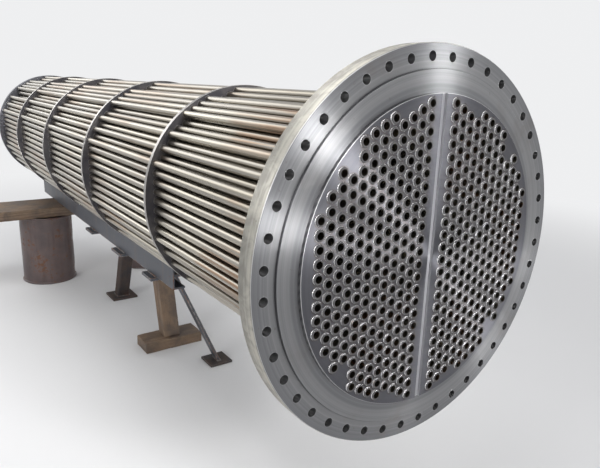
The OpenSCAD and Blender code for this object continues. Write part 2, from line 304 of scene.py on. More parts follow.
colour = coats(
    tree, (0.185, 0.187, 0.197),
    (between(tree, coarse_lines, 0.35, 0.7), (0.262, 0.263, 0.270)),
    (product(tree, between(tree, broad_bands, 0.45, 0.75), 0.5), (0.33, 0.33, 0.33)),
    (product(tree, between(tree, smears, 0.52, 0.75), 0.45), (0.21, 0.19, 0.18)),
    (product(tree, flange_rim, 0.9), rim_colour),
    # The tube face is darker: soot and heat tint from welding, with painted shade.
    (product(tree, tube_zone, 0.80), (0.105, 0.105, 0.120)),
    (product(tree, heat, 0.4), (0.100, 0.075, 0.060)),
    (product(tree, between(tree, spots, 0.66, 0.78), 0.4), (0.16, 0.14, 0.13)),
    # painted shade on the step walls
    (product(tree, step_wall_shade, 0.8), (0.085, 0.085, 0.092)),
    (product(tree, groove, 0.9), (0.34, 0.34, 0.355)),
    (product(tree, hole_edge, 0.3), (0.62, 0.62, 0.62)),
    # painted highlights on the edges
    (product(tree, edge_highlights, 0.6), (0.78, 0.78, 0.78)),
    (product(tree, hole_wall, 0.9), (0.026, 0.025, 0.025)))
roughness = total(
    tree, 0.25,
    product(tree, smears, 0.14),
    product(tree, between(tree, wiped, 0.5, 0.7), 0.07),
    product(tree, tube_zone, 0.10),
    product(tree, hole_wall, 0.35),
    product(tree, flange_rim, 0.25),
    product(tree, between(tree, radius, 0.070, 0.010), 0.45))
tool_marks = bump(tree, coarse_lines, 0.00008, 0.3, bump(tree, fine_lines, 0.00003, 0.4))
set_looks(tree, shader, colour, roughness, bump(tree, hole_edge, 0.0004, 0.8, tool_marks),
          opposite(tree, product(tree, groove, 0.55)))
# The tool lines run round the axis, and so does the stretch of the highlights
shader.inputs["Anisotropic"].default_value = 0.95
shader.inputs["Anisotropic Rotation"].default_value = 0.25
tangent = put(tree, "ShaderNodeTangent", direction_type="RADIAL", axis="X").outputs[0]
feed(tree, shader.inputs["Tangent"], tangent)
dress(turned_steel, "front_tubesheet")


# ---- Support plates
# Four full round plates of rolled steel, drilled in one stack and turned on the rim,
# so the faces are dull mill-finished grey, painted darker still as shade, and the thin rim is
# bright, with painted highlights along its corners.

PLATE_R = 0.308
FIRST_PLATE = 0.706
PLATE_SPACING = 0.612
PLATE_T = 0.012
HOLE_BURR_R = 0.0099
plate_steel, tree, shader, place = new_finish("plate_steel")
along, across, height, radius = round_the_axis(tree, place)
rim = between(tree, radius, PLATE_R - 0.0012, PLATE_R - 0.0003)
plates_back = calc(tree, "DIVIDE", calc(tree, "SUBTRACT", FACE_X - FIRST_PLATE, along), PLATE_SPACING)
off_plate = calc(tree, "SUBTRACT", plates_back, calc(tree, "ROUND", plates_back))
from_middle = calc(tree, "ABSOLUTE", calc(tree, "SUBTRACT", product(tree, off_plate, PLATE_SPACING), PLATE_T / 2))
# Painted highlights along the two corners of the turned rim.
rim_corner_highlights = between(tree, from_middle, PLATE_T / 2 - 0.0016, PLATE_T / 2 - 0.0004)
scale_patches = noise(tree, place, 14.0, 5.0, 0.6, distort=0.5)
grain = noise(tree, place, 220.0, 3.0)
rim_lines = noise(tree, place, 900.0, 2.0, stretch=(1.0, 0.02, 0.02))
hole_burr = band(tree, to_nearest_tube(tree, across, height, rods_too=True), HOLE_BURR_R, 0.0003, 0.0005)
# The faces are mill-scale grey, painted darker as shade.
colour = coats(
    tree, (0.058, 0.056, 0.066),
    (between(tree, scale_patches, 0.3, 0.72), (0.130, 0.122, 0.124)),
    (product(tree, between(tree, grain, 0.6, 0.8), 0.4), (0.17, 0.11, 0.08)),
    (product(tree, hole_burr, 0.5), (0.34, 0.34, 0.34)),
    (rim, mixed(tree, rim_corner_highlights, (0.31, 0.295, 0.285), (0.64, 0.625, 0.60))))
roughness = total(tree, 0.46, product(tree, scale_patches, 0.2), product(tree, rim, -0.28))
rolled_face = bump(tree, grain, 0.0002, 0.5)
set_looks(tree, shader, colour, roughness, bump(tree, rim_lines, 0.00006, 0.5, rolled_face),
          between(tree, rim, 0.0, 1.0, 0.75, 1.0))
dress(plate_steel, "support_plate_1", "support_plate_2", "support_plate_3", "support_plate_4")


# ---- Tie rods and spacer tubes
# Four plain steel rods are screwed into the back of the front tubesheet. Cut lengths of tube
# slid over them hold the support plates apart. Their far ends carry a rolled thread.

THREAD_PITCH = 0.00175
THREAD_DEPTH = 0.0009
LAST_PLATE_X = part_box("support_plate_4")[0].x
ROD_Y = FIRST_COLUMN + ROD_COLUMN * COLUMN_STEP
ROD_Z = ROD_ROW * TUBE_PITCH
rod_steel, tree, shader, place = new_finish("rod_steel")
along, across, up = apart(tree, place)
drawn = noise(tree, place, 300.0, 3.0, stretch=(0.05, 1.0, 1.0))
dull = noise(tree, place, 25.0, 4.0)
rod_across = calc(tree, "SUBTRACT", calc(tree, "ABSOLUTE", across), ROD_Y)
rod_up = calc(tree, "SUBTRACT", calc(tree, "ABSOLUTE", calc(tree, "SUBTRACT", up, AXIS_Z)), ROD_Z)
turn = total(tree, product(tree, along, 2 * math.pi / THREAD_PITCH), calc(tree, "ARCTAN2", rod_up, rod_across))
ridge = total(tree, product(tree, calc(tree, "SINE", turn), 0.5), 0.5)
thread = product(tree, ridge, between(tree, along, LAST_PLATE_X + 0.004, LAST_PLATE_X))
colour = coats(
    tree, (0.24, 0.23, 0.225),
    (between(tree, dull, 0.35, 0.7), (0.42, 0.41, 0.39)),
    (product(tree, between(tree, drawn, 0.6, 0.8), 0.4), (0.20, 0.13, 0.09)),
    (product(tree, thread, 0.5), (0.10, 0.09, 0.085)))
set_looks(tree, shader, colour, between(tree, dull, 0.2, 0.8, 0.30, 0.5),
          bump(tree, thread, THREAD_DEPTH, 1.0, bump(tree, drawn, 0.0001, 0.5)))
dress(rod_steel, "tie_rods")


# ---- Tie rod nuts
# A hexagon nut behind the last support plate closes each row of spacers. It is hot forged, with
# turned chamfers at both ends and a countersunk thread.

NUT_FLATS, NUT_HEIGHT, NUT_BORE_R = 0.019, 0.010, 0.0062
NUT_POINTS = 48
COUNTERSINK = 0.0008
NUT_FACE_R = NUT_FLATS / 2 * 1.02
CHAMFER_DROP, CHAMFER_ANGLE = 0.0003, math.radians(30)
nut_steel, tree, shader, place = new_finish("nut_steel")
dull = noise(tree, place, 70.0, 4.0)
rust_specks = between(tree, noise(tree, place, 240.0, 3.0), 0.58, 0.7)
colour = coats(
    tree, (0.16, 0.15, 0.145),
    (between(tree, dull, 0.3, 0.7), (0.30, 0.285, 0.27)),
    (product(tree, rust_specks, 0.5), (0.20, 0.11, 0.06)))
set_looks(tree, shader, colour, between(tree, dull, 0.2, 0.8, 0.34, 0.52), bump(tree, dull, 0.0003, 0.4))


def close_rings(shape, rings):
    """Faces from each ring of points to the next, and from the last to the first, all facing outwards."""
    for one, two in zip(rings, rings[1:] + rings[:1]):
        for k in range(len(one)):
            after = (k + 1) % len(one)
            corners = []
            for vert in (one[k], one[after], two[after], two[k]):
                if vert not in corners:
                    corners.append(vert)
            if len(corners) > 2:
                shape.faces.new(corners)
    bmesh.ops.recalc_face_normals(shape, faces=shape.faces)


def mesh_of(name, shape):
    """The mesh of a shape that has been built up point by point."""
    mesh = bpy.data.meshes.new(name)
    shape.to_mesh(mesh)
    shape.free()
    return mesh


nut_shape = bmesh.new()
nut_rings = [[] for _ in range(6)]
for k in range(NUT_POINTS):
    angle = 2 * math.pi * k / NUT_POINTS
    flat_angle = (angle + math.pi / 6) % (math.pi / 3) - math.pi / 6
    hexagon = NUT_FLATS / 2 / math.cos(flat_angle)
    turned = min(hexagon, NUT_FACE_R)
    drop = CHAMFER_DROP + (hexagon - turned) * math.tan(CHAMFER_ANGLE)
    outline = ((NUT_BORE_R, COUNTERSINK), (turned, 0.0), (hexagon, drop),
               (hexagon, NUT_HEIGHT - drop), (turned, NUT_HEIGHT), (NUT_BORE_R, NUT_HEIGHT - COUNTERSINK))
    for ring, (r, x) in zip(nut_rings, outline):
        ring.append(nut_shape.verts.new((x, r * math.cos(angle), r * math.sin(angle))))
close_rings(nut_shape, nut_rings)


def new_shape_tree(name, sizes, seeded=False):
    """A geometry tree with an input for its mesh and each of its sizes, and the sockets of those inputs."""
    tree = bpy.data.node_groups.new(name, "GeometryNodeTree")
    tree.is_modifier = True
    tree.interface.new_socket("Geometry", in_out="INPUT", socket_type="NodeSocketGeometry")
    for size in sizes:
        tree.interface.new_socket(size, in_out="INPUT", socket_type="NodeSocketFloat")
    if seeded:
        tree.interface.new_socket("Seed", in_out="INPUT", socket_type="NodeSocketInt")
    tree.interface.new_socket("Geometry", in_out="OUTPUT", socket_type="NodeSocketGeometry")
    return tree, put(tree, "NodeGroupInput").outputs


def random_turn(tree, highest, seed):
    """A turn for each point, between none and the highest angles round x, y and z."""
    inputs = {"Min": (0.0, 0.0, 0.0), "Max": highest, "Seed": seed}
    angles = put(tree, "FunctionNodeRandomValue", inputs, data_type="FLOAT_VECTOR").outputs[0]
    return put(tree, "FunctionNodeEulerToRotation", {0: angles}).outputs[0]


def end_tree(tree, shape, material):
    """Ends a geometry tree: the repeated shapes are made real and take their material."""
    real = put(tree, "GeometryNodeRealizeInstances", {"Geometry": shape}).outputs[0]
    done = put(tree, "GeometryNodeSetMaterial", {"Geometry": real, "Material": material}).outputs[0]
    feed(tree, put(tree, "NodeGroupOutput").inputs[0], done)


def grown(name, tree, sizes, base=None):
    """Runs a geometry tree once and gives back its result as a plain mesh object."""
    made = placed(name, base or bpy.data.meshes.new(name))
    modifier = made.modifiers.new("nodes", "NODES")
    modifier.node_group = tree
    for socket in tree.interface.items_tree:
        if socket.in_out == "INPUT" and socket.name in sizes:
            modifier[socket.identifier] = sizes[socket.name]
    result = bpy.data.meshes.new_from_object(made.evaluated_get(bpy.context.evaluated_depsgraph_get()))
    made.modifiers.clear()
    made.data = result
    return made


def smooth(piece, sharp_over=None):
    """Smooth shading on the whole piece, but sharp at edges over an angle in degrees where it is given."""
    piece.data.polygons.foreach_set("use_smooth", [True] * len(piece.data.polygons))
    if sharp_over is not None:
        piece.data.set_sharp_from_angle(angle=math.radians(sharp_over))


def belongs(piece, slot_name, *stood_for):
    """The piece rides on the object and stands for the nodes named; slot_name is not used."""
    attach(piece, "root")
    if stood_for:
        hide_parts(*stood_for)


nut_sizes = {"Rod Across": ROD_Y, "Rod Up": ROD_Z, "Rod Along": LAST_PLATE_X - NUT_HEIGHT}
tree, given = new_shape_tree("nuts_on_rods", nut_sizes, seeded=True)
index = put(tree, "GeometryNodeInputIndex").outputs[0]
left_or_right = total(tree, product(tree, calc(tree, "FLOORED_MODULO", index, 2.0), 2.0), -1.0)
lower_or_upper = total(tree, product(tree, calc(tree, "FLOOR", calc(tree, "DIVIDE", index, 2.0)), 2.0), -1.0)
rod_y = product(tree, left_or_right, given["Rod Across"])
rod_z = total(tree, AXIS_Z, product(tree, lower_or_upper, given["Rod Up"]))
rod_ends = together(tree, given["Rod Along"], rod_y, rod_z)
points = put(tree, "GeometryNodePoints", {"Count": 4, "Position": rod_ends}).outputs[0]
tightened = random_turn(tree, (1.0, 0.0, 0.0), given["Seed"])
set_on_rods = put(tree, "GeometryNodeInstanceOnPoints",
                  {"Points": points, "Instance": given["Geometry"], "Rotation": tightened}).outputs[0]
end_tree(tree, set_on_rods, nut_steel)
nuts = grown("forged_rod_nuts", tree, {**nut_sizes, "Seed": 5}, mesh_of("nut", nut_shape))
smooth(nuts, 20)
belongs(nuts, "rod_steel", "tie_rod_nuts")


# ---- Tubes
# Straight cold drawn steel tubes with a satin skin. Handling, oil and cutting heat have left
# brown streaks along them, most of all near the front tubesheet.

TUBE_END_X = FACE_X + 0.017
tube_steel, tree, shader, place = new_finish("tube_steel")
along = apart(tree, place)[0]
per_tube = noise(tree, place, 34.0, 1.0, stretch=(0.02, 1.0, 1.0))
streaks = noise(tree, place, 110.0, 2.0, 0.5, stretch=(0.016, 1.0, 1.0))
patches = noise(tree, place, 5.0, 2.0, 0.5, stretch=(0.5, 1.0, 1.0))
draw_lines = noise(tree, place, 600.0, 1.0, stretch=(0.006, 1.0, 1.0))
near_front = between(tree, along, FACE_X - 0.75, FACE_X - 0.08)
cut_end = between(tree, calc(tree, "ABSOLUTE", along), TUBE_END_X - 0.0005, TUBE_END_X - 0.0002)
brown = product(tree, between(tree, patches, 0.48, 0.62), between(tree, streaks, 0.42, 0.60),
                total(tree, 0.42, product(tree, near_front, 0.43)))
colour = coats(
    tree, (0.31, 0.285, 0.236),
    (between(tree, per_tube, 0.3, 0.7), (0.48, 0.445, 0.372)),
    (brown, (0.26, 0.145, 0.080)),
    (product(tree, between(tree, streaks, 0.60, 0.40), 0.35), (0.23, 0.22, 0.22)),
    (product(tree, cut_end, 0.85), (0.13, 0.13, 0.14)))
set_looks(tree, shader, colour, total(tree, 0.20, product(tree, patches, 0.18)),
          bump(tree, draw_lines, 0.00005, 0.4))
for side in ("left", "right"):
    for group in ("inner", "middle", "outer", "edge"):
        dress(tube_steel, f"{side}_tubes_{group}")
dress(tube_steel, "spacers_1", "spacers_2", "spacers_3", "spacers_4")


# ---- Floating tubesheet
# A plain turned disc of the same steel at the far end, drilled for the same tubes and welded to
# them. Nothing holds its rim, so it is free to move as the tubes warm up.

dress(turned_steel, "floating_tubesheet")


# ---- Tube end welds
# A small ring-shaped fillet weld joins each tube end to the front and the floating tubesheet.
# The beads ripple slightly and carry a pale painted highlight round their foot, and each one starts and ends at its
# own angle.

COLUMNS, ROWS = 12, 27
PLACES_A_SIDE = COLUMNS * ROWS
BEAD_INNER_R, BEAD_FOOT_R = 0.0101, 0.0108
weld_steel, tree, shader, place = new_finish("weld_steel")
bead = apart(tree, put(tree, "ShaderNodeAttribute", attribute_name="bead_place").outputs["Vector"])
ripple = calc(tree, "SINE", product(tree, calc(tree, "ARCTAN2", bead[1], bead[0]), 26.0))
tint = noise(tree, place, 120.0, 3.0)
# A pale ring round the foot of each bead: a painted highlight.
bead_foot_highlight = between(tree, length_of(tree, bead[0], bead[1]), BEAD_INNER_R, BEAD_FOOT_R)
colour = coats(
    tree, (0.12, 0.12, 0.13),
    (between(tree, tint, 0.35, 0.65), (0.19, 0.188, 0.19)),
    (bead_foot_highlight, (0.62, 0.62, 0.62)),
    (product(tree, between(tree, tint, 0.62, 0.75), 0.5), (0.20, 0.15, 0.115)))
set_looks(tree, shader, colour, between(tree, tint, 0.2, 0.8, 0.18, 0.32), bump(tree, ripple, 0.0002, 0.5))

weld_sizes = {
    "Pitch": TUBE_PITCH, "First Column": FIRST_COLUMN, "Field Radius": TUBE_FIELD_R,
    "Rod Column": ROD_COLUMN, "Rod Row": ROD_ROW,
    "Root Radius": 0.0113, "Toe Radius": 0.0096, "Height": 0.0020, "Crown": 0.0003,
}
tree, given = new_shape_tree("tube_end_welds", weld_sizes, seeded=True)
# The places of the triangular layout, less those outside the field and those of the tie rods
index = put(tree, "GeometryNodeInputIndex").outputs[0]
side = calc(tree, "FLOOR", calc(tree, "DIVIDE", index, PLACES_A_SIDE))
within = calc(tree, "FLOORED_MODULO", index, PLACES_A_SIDE)
column = calc(tree, "FLOOR", calc(tree, "DIVIDE", within, ROWS))
step = calc(tree, "SUBTRACT", calc(tree, "FLOORED_MODULO", within, ROWS), (ROWS - 1) / 2)
even = opposite(tree, calc(tree, "FLOORED_MODULO", column, 2.0))
row = total(tree, step, product(tree, even, 0.5))
off_lane = total(tree, given["First Column"], product(tree, column, given["Pitch"], math.sqrt(3) / 2))
weld_y = product(tree, off_lane, total(tree, product(tree, side, 2.0), -1.0))
weld_z = product(tree, row, given["Pitch"])
outside = calc(tree, "GREATER_THAN", length_of(tree, weld_y, weld_z), given["Field Radius"])
in_rod_column = calc(tree, "COMPARE", column, given["Rod Column"], 0.1)
in_rod_row = calc(tree, "COMPARE", calc(tree, "ABSOLUTE", row), given["Rod Row"], 0.1)
unused = total(tree, outside, product(tree, in_rod_column, in_rod_row))
weld_places = {"Count": 2 * PLACES_A_SIDE, "Position": together(tree, 0.0, weld_y, weld_z)}
points = put(tree, "GeometryNodePoints", weld_places).outputs[0]
kept = put(tree, "GeometryNodeDeleteGeometry", {"Geometry": points, "Selection": unused}, domain="POINT").outputs[0]
# One bead: a short open cone, swelled out along its slope
cone_sizes = {"Vertices": 18, "Side Segments": 3, "Radius Top": given["Toe Radius"],
              "Radius Bottom": given["Root Radius"], "Depth": given["Height"]}
cone = put(tree, "GeometryNodeMeshCone", cone_sizes, fill_type="NONE").outputs["Mesh"]
local = put(tree, "GeometryNodeInputPosition").outputs[0]
local_x, local_y, local_z = apart(tree, local)
climbed = calc(tree, "DIVIDE", local_z, given["Height"])
swell = product(tree, calc(tree, "SINE", product(tree, climbed, math.pi)), given["Crown"])
slope = together(tree, local_x, local_y, given["Toe Radius"])
outwards = put(tree, "ShaderNodeVectorMath", {0: slope}, operation="NORMALIZE").outputs[0]
offset = put(tree, "ShaderNodeVectorMath", {0: outwards, "Scale": swell}, operation="SCALE").outputs[0]
crowned = put(tree, "GeometryNodeSetPosition", {"Geometry": cone, "Offset": offset}).outputs[0]
marked = put(tree, "GeometryNodeStoreNamedAttribute", {"Geometry": crowned, "Name": "bead_place", "Value": local},
             data_type="FLOAT_VECTOR", domain="POINT").outputs[0]
facing = put(tree, "FunctionNodeEulerToRotation", {0: (0.0, math.pi / 2, 0.0)}).outputs[0]
start = random_turn(tree, (0.0, 0.0, 2 * math.pi), given["Seed"])
turned = put(tree, "FunctionNodeRotateRotation", {"Rotation": facing, "Rotate By": start},
             rotation_space="LOCAL").outputs[0]
ringed = put(tree, "GeometryNodeInstanceOnPoints",
             {"Points": kept, "Instance": marked, "Rotation": turned}).outputs[0]
end_tree(tree, ringed, weld_steel)

front_welds = grown("front_tube_end_welds", tree, {**weld_sizes, "Seed": 3})
front_welds.data.transform(Matrix.Translation((FACE_X + TUBE_FACE_PROUD, 0, AXIS_Z)))
back_welds = grown("back_tube_end_welds", tree, {**weld_sizes, "Seed": 8})
back_face = Matrix.Translation((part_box("floating_tubesheet")[0].x, 0, AXIS_Z))
back_welds.data.transform(back_face @ Matrix.Rotation(math.pi, 4, "Z"))
for piece in (front_welds, back_welds):
    smooth(piece)
    belongs(piece, "tube_steel")


# ---- Rails, plates under them and raking leg
# Two rolled channels with their webs outwards carry the support plates. Grey-blue shop paint,
# scuffed along the edges and rusty where it has gone. The flat leg leans out to one side.

LEG_REACH = 0.185
ROLLED_EDGE_R, CUT_EDGE_R = 0.0015, 0.0012


def straightened(name, rake=(0.0, 0.0)):
    """The box of a leaning piece stood upright over its foot, and the lean taken out for each metre of height."""
    low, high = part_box(name)
    for i in (0, 1):
        if rake[i] > 0:
            low[i] += rake[i]
        else:
            high[i] += rake[i]
    tall = high.z - low.z
    return low, high, (rake[0] / tall, rake[1] / tall)


def pushed_upright(tree, place, push, foot_z):
    """Coordinates in which a leaning piece stands upright."""
    if push == (0.0, 0.0):
        return place
    climb = calc(tree, "SUBTRACT", apart(tree, place)[2], foot_z)
    shift = together(tree, product(tree, climb, push[0]), product(tree, climb, push[1]), 0.0)
    return put(tree, "ShaderNodeVectorMath", {0: place, 1: shift}, operation="ADD").outputs[0]


def edge_distance(tree, place, low, high):
    """How far a point of a box's surface is from the nearest edge of the box."""
    near = []
    for part, least, most in zip(apart(tree, place), low, high):
        from_least = calc(tree, "ABSOLUTE", calc(tree, "SUBTRACT", part, least))
        from_most = calc(tree, "ABSOLUTE", calc(tree, "SUBTRACT", most, part))
        near.append(calc(tree, "MINIMUM", from_least, from_most))
    smaller, larger = calc(tree, "MINIMUM", near[0], near[1]), calc(tree, "MAXIMUM", near[0], near[1])
    return calc(tree, "MAXIMUM", smaller, calc(tree, "MINIMUM", larger, near[2]))


def shop_paint(name, low, high, push):
    """Grey-blue paint, worn to steel and rust along the edges of the box from low to high."""
    material, tree, shader, place = new_finish(name)
    place = pushed_upright(tree, place, push, low.z)
    worn = edge_distance(tree, place, low, high)
    cloud = noise(tree, place, 7.0, 5.0, 0.6)
    chips = noise(tree, place, 70.0, 5.0, 0.65)
    drips = noise(tree, place, 30.0, 4.0, 0.6, stretch=(1.0, 1.0, 0.15))
    ragged = total(tree, worn, product(tree, calc(tree, "SUBTRACT", chips, 0.5), 0.016))
    bare = between(tree, ragged, 0.0022, 0.0008)
    pitted = product(tree, between(tree, chips, 0.66, 0.72), 0.9)
    rust = calc(tree, "MAXIMUM", pitted, product(tree, bare, between(tree, cloud, 0.35, 0.6)))
    rust_colour = mixed(tree, between(tree, drips, 0.4, 0.6), (0.10, 0.038, 0.018), (0.21, 0.085, 0.035))
    colour = coats(
        tree, (0.044, 0.049, 0.062),
        (between(tree, cloud, 0.3, 0.7), (0.075, 0.081, 0.096)),
        (product(tree, between(tree, drips, 0.5, 0.75), 0.45), (0.12, 0.085, 0.065)),
        (bare, (0.33, 0.32, 0.31)),
        (rust, rust_colour))
    roughness = total(tree, between(tree, cloud, 0.2, 0.8, 0.34, 0.55), product(tree, rust, 0.3))
    skin = bump(tree, noise(tree, place, 400.0, 2.0), 0.00015, 0.4)
    paint_left = opposite(tree, calc(tree, "MAXIMUM", bare, rust))
    set_looks(tree, shader, colour, roughness, bump(tree, paint_left, 0.0004, 0.6, skin),
              product(tree, bare, opposite(tree, rust)))
    return material


def eased(name, material, slot_name, radius):
    """A copy of a CAD piece with its sharp edges rounded to a small radius, to stand for the sharp one."""
    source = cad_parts[name]
    block = bmesh.new()
    block.from_mesh(source.data)
    block.transform(source.matrix_world)
    bmesh.ops.remove_doubles(block, verts=block.verts, dist=1e-6)
    bmesh.ops.dissolve_limit(block, angle_limit=math.radians(1), verts=block.verts, edges=block.edges)
    corners = [edge for edge in block.edges
               if len(edge.link_faces) == 2 and edge.calc_face_angle() > math.radians(50)]
    bmesh.ops.bevel(block, geom=corners, offset=radius, offset_type="OFFSET", segments=2, profile=0.5,
                    affect="EDGES", clamp_overlap=True)
    mesh = mesh_of("eased_" + name, block)
    mesh.materials.clear()
    mesh.materials.append(material)
    made = placed("eased_" + name, mesh)
    smooth(made, 25)
    belongs(made, slot_name, name)


for name in ("left_rail", "right_rail", "timber_head_plate", "steel_head_plate", "leg_head_plate"):
    eased(name, shop_paint(name + "_paint", *straightened(name)), "painted_steel", ROLLED_EDGE_R)
leg_paint = shop_paint("raking_leg_paint", *straightened("raking_leg", (0.0, LEG_REACH)))
eased("raking_leg", leg_paint, "painted_steel", CUT_EDGE_R)


# ---- Steel post and the foot plates
# A square hollow section leans on a flat plate. Bare steel that has rusted evenly, with darker
# mill scale left in patches.

STEEL_RAKE = -0.170


def rusty(name, low, high, push):
    """Even brown rust over mill scale, rubbed lighter along the edges."""
    material, tree, shader, place = new_finish(name)
    place = pushed_upright(tree, place, push, low.z)
    worn = edge_distance(tree, place, low, high)
    cloud = noise(tree, place, 11.0, 6.0, 0.65)
    pits = noise(tree, place, 180.0, 5.0, 0.7)
    runs = noise(tree, place, 40.0, 4.0, 0.6, stretch=(1.0, 1.0, 0.12))
    rubbed = between(tree, total(tree, worn, product(tree, pits, 0.003)), 0.0032, 0.0018)
    colour = coats(
        tree, (0.030, 0.027, 0.029),
        (between(tree, cloud, 0.35, 0.65), (0.062, 0.040, 0.031)),
        (product(tree, between(tree, pits, 0.54, 0.75), 0.6), (0.125, 0.058, 0.030)),
        (product(tree, between(tree, runs, 0.55, 0.75), 0.5), (0.022, 0.020, 0.022)),
        (product(tree, rubbed, 0.6), (0.24, 0.20, 0.18)))
    set_looks(tree, shader, colour, between(tree, pits, 0.2, 0.8, 0.62, 0.88), bump(tree, pits, 0.0005, 0.6),
              product(tree, rubbed, 0.6))
    return material


post_rust = rusty("steel_post_rust", *straightened("steel_post", (STEEL_RAKE, 0.0)))
eased("steel_post", post_rust, "rusty_steel", ROLLED_EDGE_R)
for name in ("steel_base_plate", "leg_foot_plate"):
    eased(name, rusty(name + "_rust", *straightened(name)), "rusty_steel", CUT_EDGE_R)


# ---- Stand weld seams
# Hand-laid fillet welds join the plates to the rails, the steel post to its two plates and the
# raking leg to its own. Each seam is a rippled bead that swells and thins as the hand moved.

SEAM_INSET_X, SEAM_INSET_Y = 0.006, 0.005
seam_steel, tree, shader, place = new_finish("seam_steel")
tint = noise(tree, place, 90.0, 4.0)
rust = between(tree, noise(tree, place, 35.0, 4.0), 0.45, 0.65)
colour = coats(
    tree, (0.10, 0.095, 0.095),
    (between(tree, tint, 0.35, 0.65), (0.22, 0.205, 0.195)),
    (product(tree, rust, 0.8), (0.15, 0.065, 0.030)))
set_looks(tree, shader, colour, between(tree, tint, 0.2, 0.8, 0.40, 0.65),
          bump(tree, noise(tree, place, 500.0, 2.0), 0.0002, 0.5), 0.5)

seam_sizes = {"Bead Radius": 0.0042, "Ripple Pitch": 0.0042, "Ripple Depth": 0.10, "Wander": 0.25}
tree, given = new_shape_tree("weld_seams", seam_sizes)
route = put(tree, "GeometryNodeMeshToCurve", {"Mesh": given["Geometry"]}).outputs[0]
fine_step = product(tree, given["Ripple Pitch"], 0.25)
route = put(tree, "GeometryNodeResampleCurve", {"Curve": route, "Length": fine_step}, mode="LENGTH").outputs[0]
run = put(tree, "GeometryNodeSplineParameter").outputs["Length"]
wave = calc(tree, "SINE", calc(tree, "DIVIDE", product(tree, run, 2 * math.pi), given["Ripple Pitch"]))
hand = noise(tree, put(tree, "GeometryNodeInputPosition").outputs[0], 45.0, 2.0)
thick = total(tree, 1.0, product(tree, wave, given["Ripple Depth"]),
              product(tree, calc(tree, "SUBTRACT", hand, 0.5), given["Wander"]))
route = put(tree, "GeometryNodeSetCurveRadius", {"Curve": route, "Radius": thick}).outputs[0]
profile = put(tree, "GeometryNodeCurvePrimitiveCircle", {"Resolution": 9, "Radius": given["Bead Radius"]},
              mode="RADIUS").outputs[0]
beads = put(tree, "GeometryNodeCurveToMesh",
            {"Curve": route, "Profile Curve": profile, "Fill Caps": True}).outputs[0]
end_tree(tree, beads, seam_steel)

seam_lines = []
for name in ("timber_head_plate", "steel_head_plate", "leg_head_plate"):
    low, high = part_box(name)
    for rail, web_side in (("left_rail", 0), ("right_rail", 1)):
        rail_low, rail_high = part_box(rail)
        web_y = (rail_low.y, rail_high.y)[web_side]
        seam_lines.append([(low.x + SEAM_INSET_X, web_y, high.z), (high.x - SEAM_INSET_X, web_y, high.z)])
        for x in (low.x, high.x):
            seam_lines.append([(x, rail_low.y + SEAM_INSET_Y, high.z), (x, rail_high.y - SEAM_INSET_Y, high.z)])


def loop_of(x_range, y_range, z):
    """Corner points of a level closed loop."""
    (x0, x1), (y0, y1) = x_range, y_range
    return [(x0, y0, z), (x1, y0, z), (x1, y1, z), (x0, y1, z), (x0, y0, z)]


for name, lean_x, lean_y in (("steel_post", STEEL_RAKE, 0.0), ("raking_leg", 0.0, LEG_REACH)):
    low, high, _ = straightened(name, (lean_x, lean_y))
    seam_lines.append(loop_of((low.x, high.x), (low.y, high.y), low.z))
    seam_lines.append(loop_of((low.x - lean_x, high.x - lean_x), (low.y - lean_y, high.y - lean_y), high.z))
seam_points, seam_edges = [], []
for line in seam_lines:
    for k, point in enumerate(line):
        if k:
            seam_edges.append((len(seam_points) - 1, len(seam_points)))
        seam_points.append(point)
seam_base = bpy.data.meshes.new("stand_weld_seams")
seam_base.from_pydata(seam_points, seam_edges, [])
seams = grown("stand_weld_seams", tree, seam_sizes, seam_base)
smooth(seams)
belongs(seams, "rusty_steel")


# ---- Timber post, sill and rear plank
# Sawn softwood with open grain, rounded and bruised edges, dark with oil and floor dirt. The post
# leans forward on its sill, and the plank lies across the two drums.

TIMBER_RAKE = 0.097
TIMBER_CELL = 0.010
SCUFF_DEPTH, BRUISE_DEPTH = 0.0005, 0.009
NO_RAKE = (0.0, 0.0)
# Each timber's grain axis, its pith off the middle, its lean and the rounding of its edges
TIMBERS = (
    ("timber_post", 2, (0.02, 0.06, 0.0), (TIMBER_RAKE, 0.0), 0.004),
    ("timber_sill", 1, (0.02, 0.0, -0.05), NO_RAKE, 0.005),
    ("rear_plank", 1, (0.05, 0.0, -0.03), NO_RAKE, 0.006),
)


def sawn_wood(name, grain_axis, pith, push, foot_z):
    """Wood with growth rings round a pith line that runs along one axis."""
    material, tree, shader, place = new_finish(name)
    place = pushed_upright(tree, place, push, foot_z)
    centred = put(tree, "ShaderNodeVectorMath", {0: place, 1: pith}, operation="SUBTRACT").outputs[0]
    wander = noise(tree, place, 5.0, 3.0, stretch=tuple(0.25 if i == grain_axis else 1.0 for i in range(3)))
    first, second = [part for i, part in enumerate(apart(tree, centred)) if i != grain_axis]
    phase = total(tree, product(tree, length_of(tree, first, second), 1400.0), product(tree, wander, 26.0))
    rings = calc(tree, "POWER", total(tree, product(tree, calc(tree, "SINE", phase), 0.5), 0.5), 2.2)
    with_grain = tuple(0.03 if i == grain_axis else 1.0 for i in range(3))
    fibre = noise(tree, place, 420.0, 3.0, 0.6, stretch=with_grain)
    splits = between(tree, noise(tree, place, 75.0, 3.0, 0.6, stretch=with_grain), 0.665, 0.70)
    dirt = noise(tree, place, 9.0, 5.0, 0.65, distort=0.3)
    colour = coats(
        tree, (0.205, 0.138, 0.088),
        (rings, (0.118, 0.070, 0.042)),
        (product(tree, between(tree, fibre, 0.45, 0.7), 0.5), (0.27, 0.205, 0.145)),
        (product(tree, between(tree, dirt, 0.38, 0.66), 0.75), (0.060, 0.046, 0.039)),
        (product(tree, splits, 0.85), (0.028, 0.019, 0.014)))
    relief = total(tree, product(tree, rings, 0.4), fibre, product(tree, splits, -2.0))
    set_looks(tree, shader, colour, between(tree, dirt, 0.3, 0.7, 0.78, 0.6), bump(tree, relief, 0.0009, 0.7),
              0.0)
    return material


